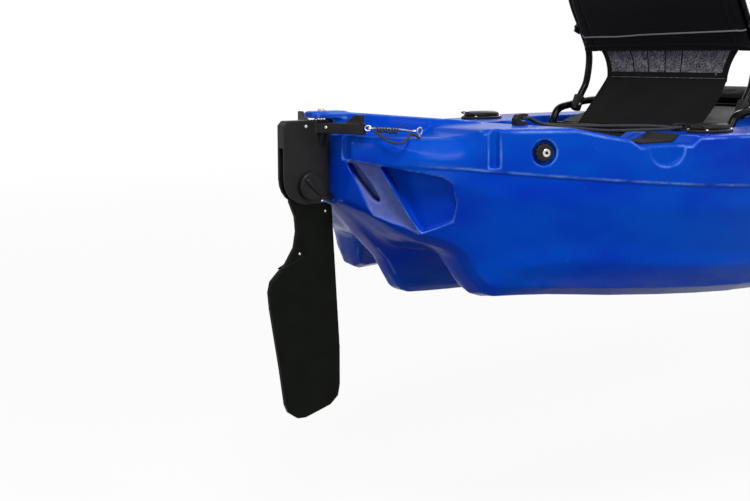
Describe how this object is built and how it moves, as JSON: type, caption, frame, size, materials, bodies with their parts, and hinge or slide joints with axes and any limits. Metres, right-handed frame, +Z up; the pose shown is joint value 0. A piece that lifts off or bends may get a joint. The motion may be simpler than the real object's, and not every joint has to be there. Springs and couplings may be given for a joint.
{
  "type": "tandem motorized kayak",
  "caption": "Sit-on-top tandem kayak with a kick-up rudder, a drop-in motor drive, two framed folding seats, foot braces and a bow hatch.",
  "frame": {"origin": "middle of the flat keel face under the hull, half way along the hull", "axes": "+X to the bow, +Y to port, +Z up"},
  "size_m": [4.408, 0.86, 1.0381],
  "materials": {
    "blue_polyethylene": "gloss rotomoulded",
    "black_plastic": "moulded",
    "black_rubber": "matt",
    "stainless_steel": "brushed",
    "black_tube": "black anodised",
    "black_fabric": "woven",
    "grey_mesh": "open mesh"
  },
  "bodies": {
    "boat": {"hull": "blue_polyethylene", "rudder_pin": "stainless_steel", "rudder_bracket": "stainless_steel", "lift_line": "black_rubber", "bungee_hook": "black_plastic", "bungee_eye": "black_plastic", "bungee": "black_rubber", "steering_base": "black_plastic", "battery": "black_plastic", "cable_eye_port": "stainless_steel", "steering_cable_port": "stainless_steel", "side_plug_port": "black_plastic", "rod_holder_port": "black_plastic", "gear_track_port": "black_plastic", "cable_eye_starboard": "stainless_steel", "steering_cable_starboard": "stainless_steel", "side_plug_starboard": "black_plastic", "rod_holder_starboard": "black_plastic", "gear_track_starboard": "black_plastic", "rear_deck_mat": "black_rubber", "rear_seat_sled": "black_tube", "rear_seat_skirt": "black_fabric", "rear_seat_cushion": "black_fabric", "front_deck_mat": "black_rubber", "front_seat_sled": "black_tube", "front_seat_skirt": "black_fabric", "front_seat_cushion": "black_fabric"},
    "rudder": {"rudder_head": "black_plastic", "rudder_bolt": "stainless_steel"},
    "rudder_blade": {"rudder_blade": "black_plastic"},
    "rudder_knob": {"rudder_knob": "black_plastic"},
    "drive": {"drive_housing": "black_plastic", "drive_leg": "black_plastic"},
    "propeller": {"propeller": "black_plastic"},
    "throttle": {"throttle_lever": "black_plastic"},
    "drive_bail": {"drive_bail": "black_tube"},
    "steering_lever": {"steering_lever": "black_plastic"},
    "bow_handle": {"bow_handle": "black_rubber"},
    "hatch_lid": {"hatch_lid": "black_plastic"},
    "hatch_knob": {"hatch_knob": "black_plastic"},
    "rod_cap_port": {"rod_cap_port": "black_plastic"},
    "side_handle_port": {"side_handle_port": "black_rubber"},
    "rear_pedal_port": {"rear_pedal_port": "black_plastic"},
    "front_pedal_port": {"front_pedal_port": "black_plastic"},
    "rod_cap_starboard": {"rod_cap_starboard": "black_plastic"},
    "side_handle_starboard": {"side_handle_starboard": "black_rubber"},
    "rear_pedal_starboard": {"rear_pedal_starboard": "black_plastic"},
    "front_pedal_starboard": {"front_pedal_starboard": "black_plastic"},
    "rear_back": {"rear_seat_back_frame": "black_tube", "rear_seat_backrest": "black_fabric", "rear_seat_lumbar_mesh": "grey_mesh"},
    "front_back": {"front_seat_back_frame": "black_tube", "front_seat_backrest": "black_fabric", "front_seat_lumbar_mesh": "grey_mesh"}
  },
  "joints": [
    {"name": "steering_lever_turn", "type": "hinge", "parent": "boat", "child": "steering_lever", "pos_m": [-0.855, 0.368, 0.388], "axis": [0, 0, 1], "range_deg": [-35, 35]},
    {"name": "rudder_steer", "type": "hinge", "parent": "boat", "child": "rudder", "pos_m": [-2.151, 0, 0.33], "axis": [0, 0, 1], "range_deg": [-35, 35]},
    {"name": "rudder_lift", "type": "hinge", "parent": "rudder", "child": "rudder_blade", "pos_m": [-2.185, 0, 0.275], "axis": [0, 1, 0], "range_deg": [0, 110]},
    {"name": "rudder_knob_turn", "type": "hinge", "parent": "rudder", "child": "rudder_knob", "pos_m": [-2.185, 0, 0.275], "axis": [0, 1, 0], "range_deg": [-90, 90]},
    {"name": "drive_lift", "type": "slide", "parent": "boat", "child": "drive", "axis": [0, 0, 1], "range_m": [0, 0.3]},
    {"name": "propeller_spin", "type": "hinge", "parent": "drive", "child": "propeller", "pos_m": [-0.555, 0, -0.13], "axis": [1, 0, 0], "continuous": true},
    {"name": "throttle_turn", "type": "hinge", "parent": "drive", "child": "throttle", "pos_m": [-0.33, 0, 0.3486], "axis": [0, 1, 0], "range_deg": [-40, 40]},
    {"name": "drive_bail_swing", "type": "hinge", "parent": "drive", "child": "drive_bail", "pos_m": [-0.39, 0, 0.3408], "axis": [0, 1, 0], "range_deg": [0, 100]},
    {"name": "rear_back_fold", "type": "hinge", "parent": "boat", "child": "rear_back", "pos_m": [-1.2155, 0, 0.3956], "axis": [0, 1, 0], "range_deg": [0, 55]},
    {"name": "rear_pedal_port_slide", "type": "slide", "parent": "boat", "child": "rear_pedal_port", "axis": [1, 0, 0], "range_m": [-0.22, 0.025]},
    {"name": "rear_pedal_starboard_slide", "type": "slide", "parent": "boat", "child": "rear_pedal_starboard", "axis": [1, 0, 0], "range_m": [-0.22, 0.025]},
    {"name": "front_back_fold", "type": "hinge", "parent": "boat", "child": "front_back", "pos_m": [0.1545, 0, 0.3956], "axis": [0, 1, 0], "range_deg": [0, 55]},
    {"name": "front_pedal_port_slide", "type": "slide", "parent": "boat", "child": "front_pedal_port", "axis": [1, 0, 0], "range_m": [-0.2, 0.03]},
    {"name": "front_pedal_starboard_slide", "type": "slide", "parent": "boat", "child": "front_pedal_starboard", "axis": [1, 0, 0], "range_m": [-0.2, 0.03]},
    {"name": "rod_cap_port_open", "type": "hinge", "parent": "boat", "child": "rod_cap_port", "pos_m": [-1.395, 0.34, 0.3746], "axis": [0, 1, 0], "range_deg": [0, 105]},
    {"name": "side_handle_port_swing", "type": "hinge", "parent": "boat", "child": "side_handle_port", "pos_m": [-0.005, 0.418, 0.338], "axis": [1, 0, 0], "range_deg": [0, 95]},
    {"name": "rod_cap_starboard_open", "type": "hinge", "parent": "boat", "child": "rod_cap_starboard", "pos_m": [-1.395, -0.34, 0.3746], "axis": [0, 1, 0], "range_deg": [0, 105]},
    {"name": "side_handle_starboard_swing", "type": "hinge", "parent": "boat", "child": "side_handle_starboard", "pos_m": [-0.005, -0.418, 0.338], "axis": [1, 0, 0], "range_deg": [-95, 0]},
    {"name": "hatch_lid_open", "type": "hinge", "parent": "boat", "child": "hatch_lid", "pos_m": [1.8065, 0, 0.3993], "axis": [0, 1, 0], "range_deg": [0, 85]},
    {"name": "hatch_knob_turn", "type": "hinge", "parent": "hatch_lid", "child": "hatch_knob", "pos_m": [1.44, 0, 0.41], "axis": [0, 0, 1], "range_deg": [0, 90]},
    {"name": "bow_handle_swing", "type": "hinge", "parent": "boat", "child": "bow_handle", "pos_m": [1.985, 0, 0.433], "axis": [0, 1, 0], "range_deg": [0, 150]}
  ],
  "couplings": [
    {"joint": "rudder_steer", "follows": "steering_lever_turn", "ratio": 1}
  ]
}
